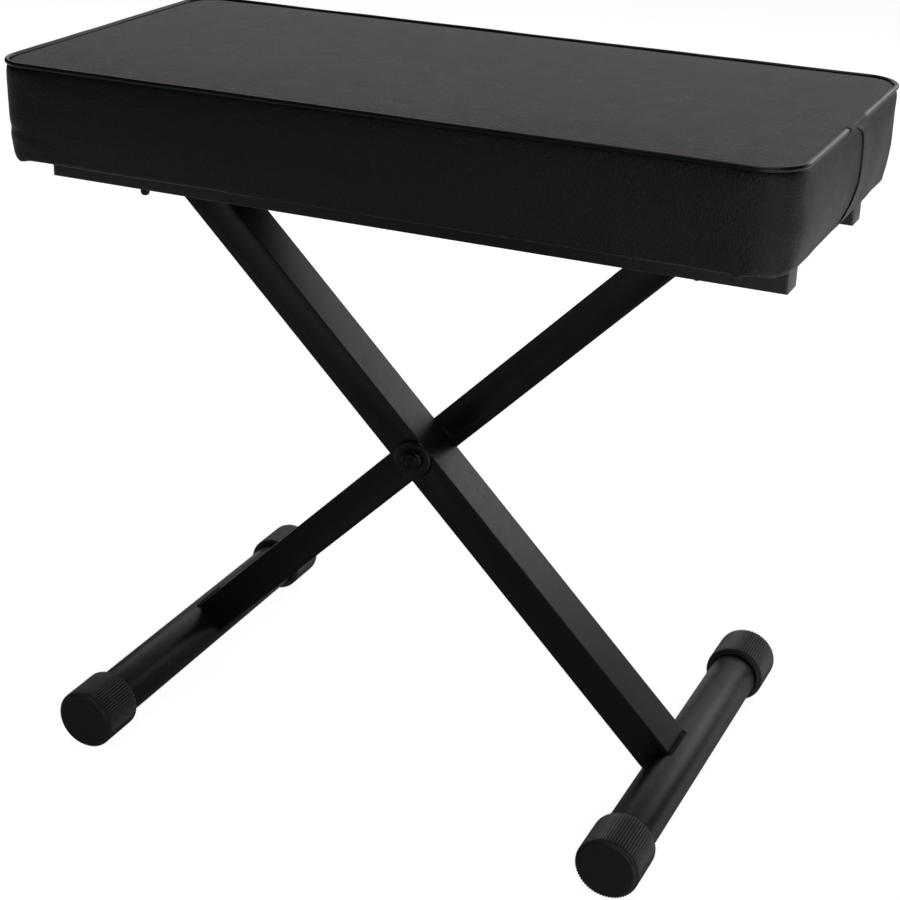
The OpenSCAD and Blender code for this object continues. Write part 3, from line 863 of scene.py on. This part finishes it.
bolt_lo, bolt_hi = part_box("pivot_bolt")
reach = (bolt_hi.y - bolt_lo.y) / MM
HEAD = [(0.0, 0.55), (3.2, 0.5), (3.6, 0.25), (4.6, 0.0), (6.0, 0.0), (6.7, 0.35), (7.45, 0.9), (7.6, 1.6),
        (7.6, 3.9), (7.2, 4.15)]
HEAD_FLANGE = [(0, 3.2), (6.6, 3.3), (7.6, 3.7), (8.3, 4.2), (8.5, 4.7), (8.4, 5.2), (4.0, 5.3)]
HALF_TURNS = 18  # crests and roots of the thread at the bolt's end
thread = [(4.0 if k % 2 else 3.55, reach - 11 + k * 0.6) for k in range(HALF_TURNS)]
shank = [(0.0, 4.9), (4.0, 5.0)] + thread + [(3.3, reach - 0.2), (2.6, reach), (0.0, reach)]
bolt = joined([on_pivot(HEAD, bolt_lo.y, shape=hexagonal), on_pivot(HEAD_FLANGE, bolt_lo.y, 64),
               on_pivot(shank, bolt_lo.y, 32)])
piece("pivot_bolt_look", *bolt, "front_leg", "black_steel", ["pivot_bolt"], 30)

washer_lo, washer_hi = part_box("pivot_front_washer")
thick = (washer_hi.y - washer_lo.y) / MM
DISC = [(8.6, 1.3), (8.7, 0.5), (9.4, 0.25), (13.4, 0.1), (14.6, 0.25), (15.2, 0.7), (15.5, 1.3),
        (15.5, thick - 0.6), (15.2, thick - 0.1), (14.6, thick), (4.2, thick), (4.2, 1.3)]
piece("pivot_front_washer_look", *on_pivot(DISC, washer_lo.y, closed=True), "front_leg", "black_paint",
      ["pivot_front_washer"], 40)

NUT = [(4.0, 0.0), (6.6, 0.0), (7.4, 0.5), (7.6, 1.0), (7.6, 4.6), (7.3, 5.3), (6.6, 5.8), (5.9, 6.0),
       (5.8, 7.0), (5.4, 7.7), (4.7, 8.0), (4.02, 7.9)]
nut = on_pivot(NUT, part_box("pivot_lock_nut")[0].y, shape=hexagonal, closed=True)
piece("pivot_lock_nut_look", *nut, "front_leg", "black_steel", ["pivot_lock_nut"], 30)


# ---- the CAD nodes that stay ----

for name, node in nodes.items():
    if not node.hide_render:
        node.data.materials.clear()
        node.data.materials.append(SLOTS[SLOT_OF[name]])


# ---- floor, lights and camera ----

def glowing(name, colour, strength, base=0.0):
    """A matt surface with some light of its own."""
    made = bpy.data.materials.new(name)
    made.use_nodes = True
    bsdf = made.node_tree.nodes["Principled BSDF"]
    bsdf.inputs["Base Color"].default_value = opaque(base, base, base)
    bsdf.inputs["Roughness"].default_value = 1.0
    bsdf.inputs["Specular IOR Level"].default_value = 0.0
    bsdf.inputs["Emission Color"].default_value = opaque(*colour)
    bsdf.inputs["Emission Strength"].default_value = strength
    return made


def staged(name, points, faces, look):
    """A surface of the studio, which isn't part of the bench."""
    mesh = bpy.data.meshes.new(name)
    mesh.from_pydata([tuple(p) for p in points], [], faces)
    mesh.materials.append(look)
    made = bpy.data.objects.new(name, mesh)
    scene.collection.objects.link(made)
    return made


def square(half, z):
    """Corners and face of a level square."""
    return [(-half, -half, z), (half, -half, z), (half, half, z), (-half, half, z)], [(0, 1, 2, 3)]


floor = staged("floor", *square(10, 0.0), glowing("floor_white", (1, 1, 1), 0.95, 0.35))
floor.visible_glossy = floor.visible_diffuse = False

# Pale dome all round, only for the camera: radius and height in metres
DOME = [(9.6, -0.2), (9.6, 2.0), (9.4, 4.0), (8.6, 6.2), (7.2, 8.0), (5.0, 9.4), (2.5, 10.2), (0.05, 10.5)]
dome = lathe(DOME, (0, 0, 0), (0, 0, 1), 72, capped=False)
backdrop = staged("backdrop", *dome, glowing("backdrop_white", (1, 1, 1), 1.0))
backdrop.visible_glossy = backdrop.visible_diffuse = backdrop.visible_shadow = False


def sheen_look():
    """A glowing plane that only the glossy parts see, painted reflections of a lit floor: bright behind and
    to the right, dimmer to the left and in front, and a painted shadow of the bench under it. The steps are
    along an axis from start to end, in metres, up to top."""
    made = glowing("floor_sheen", (1, 1, 1), 0.0)
    tree = made.node_tree
    place = add(tree, "SeparateXYZ", Vector=add(tree, "TexCoord").outputs["Object"])
    level = None
    # 0.09 is the painted shadow under the bench; each ramp raises the painted reflection towards its top
    for axis, start, end, top in (("Y", 0.02, 0.50, 0.68), ("X", 0.21, 0.34, 0.62), ("X", -0.26, -0.60, 0.30),
                                  ("Y", -0.18, -0.75, 0.10)):
        ramp = add(tree, "MapRange", interpolation_type="SMOOTHSTEP", Value=place.outputs[axis],
                   From_Min=start, From_Max=end, To_Min=0.09, To_Max=top).outputs["Result"]
        if level is None:
            level = ramp
        else:
            most = add(tree, "Math", operation="MAXIMUM")
            tree.links.new(level, most.inputs[0])
            tree.links.new(ramp, most.inputs[1])
            level = most.outputs[0]
    tree.links.new(level, tree.nodes["Principled BSDF"].inputs["Emission Strength"])
    return made


# Glowing plane seen only in reflections: painted reflections of the floor, with a painted shadow under the
# bench
sheen = staged("floor_sheen", *square(3, -0.001), sheen_look())
sheen.visible_camera = sheen.visible_diffuse = sheen.visible_shadow = False

world = bpy.data.worlds.new("studio")
world.use_nodes = True
world.node_tree.nodes["Background"].inputs["Color"].default_value = opaque(1, 1, 1)
world.node_tree.nodes["Background"].inputs["Strength"].default_value = 0.02
scene.world = world

TARGET = Vector((6.1, 0, 248.4)) * MM  # what the camera and the lights look at


def direction(azimuth, elevation):
    """Way from the bench to something at that azimuth, from the front to the right, and elevation."""
    level = math.cos(elevation)
    return Vector((math.sin(azimuth) * level, -math.cos(azimuth) * level, math.sin(elevation)))


def softbox(name, azimuth, elevation, distance, size, power, colour):
    """Area light that faces the bench, with its azimuth and elevation in degrees."""
    light = bpy.data.lights.new(name, "AREA")
    light.shape = "RECTANGLE"
    light.size, light.size_y = size
    light.energy = power
    light.color = colour
    made = bpy.data.objects.new(name, light)
    back = direction(math.radians(azimuth), math.radians(elevation))
    made.location = TARGET + back * distance
    made.rotation_euler = back.to_track_quat("Z", "Y").to_euler()
    made.visible_camera = False
    scene.collection.objects.link(made)


softbox("back_softbox", 201, 31, 2.8, (3.2, 1.5), 15.5, (1.0, 0.95, 0.92))
softbox("right_softbox", 151, 21, 2.4, (1.3, 1.1), 9, (1.0, 0.95, 0.92))
softbox("top_softbox", 24, 82, 3.0, (1.6, 1.6), 11, (1.0, 0.97, 0.95))
softbox("front_softbox", 34, 12, 2.6, (2.4, 1.4), 11, (0.84, 0.88, 1.0))


def make_camera(azimuth, elevation, roll, distance, lens):
    """The camera, with its angles in radians and its lens in mm."""
    back = direction(azimuth, elevation)
    right = Vector((math.cos(azimuth), math.sin(azimuth), 0))
    up = back.cross(right)
    rolled_right = right * math.cos(roll) + up * math.sin(roll)
    rolled_up = up * math.cos(roll) - right * math.sin(roll)
    data = bpy.data.cameras.new("camera")
    data.lens = lens
    data.sensor_width = data.sensor_height = 36
    data.clip_start = 0.05
    made = bpy.data.objects.new("camera", data)
    turn = Matrix((rolled_right, rolled_up, back)).transposed().to_4x4()
    made.matrix_world = Matrix.Translation(TARGET + back * distance) @ turn
    scene.collection.objects.link(made)
    scene.camera = made


make_camera(azimuth=0.419, elevation=0.413, roll=0.028, distance=1.5744, lens=77.99)
scene.view_settings.view_transform = "Standard"
